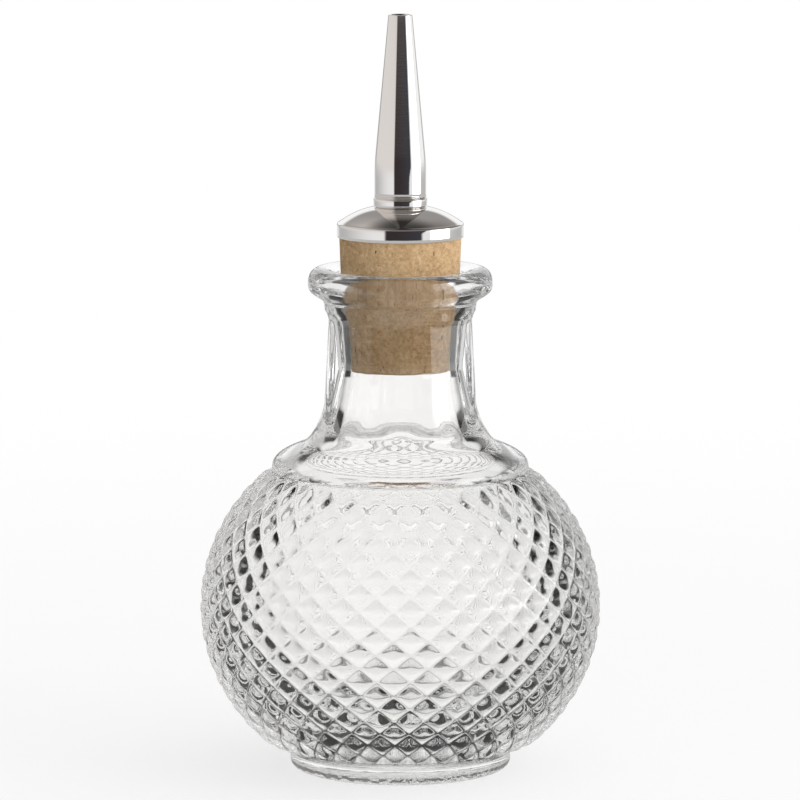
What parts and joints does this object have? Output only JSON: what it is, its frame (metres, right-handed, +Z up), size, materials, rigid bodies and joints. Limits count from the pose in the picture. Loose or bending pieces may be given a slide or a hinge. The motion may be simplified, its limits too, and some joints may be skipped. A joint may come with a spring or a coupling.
{
  "type": "bitters bottle",
  "caption": "Small round glass dasher bottle with a diamond relief globe and panelled neck, closed by a cork that carries a slender metal spout.",
  "frame": {"origin": "middle of the foot ring's resting circle, on the surface that the bottle stands on", "axes": "+Z up along the bottle's axis towards the spout's tip; -Y faces the viewer of the picture"},
  "size_m": [0.0688, 0.0688, 0.13],
  "materials": {
    "clear_glass": "clear, glossy pressed glass",
    "cork": "natural cork made of bonded granules, with dark pits",
    "polished_metal": "mirror polish",
    "plain_steel": "satin",
    "pale_plastic": "matt"
  },
  "bodies": {
    "bottle": {"glass_bottle": "clear_glass"},
    "stopper": {"cork_stopper": "cork", "shank_tube": "plain_steel", "dasher_cap": "polished_metal", "spout_ferrule": "polished_metal", "spout_cone": "polished_metal", "dash_restrictor": "pale_plastic"}
  },
  "joints": [
    {"name": "stopper_pull", "type": "slide", "parent": "bottle", "child": "stopper", "axis": [0, 0, 1], "range_m": [0, 0.025]}
  ]
}
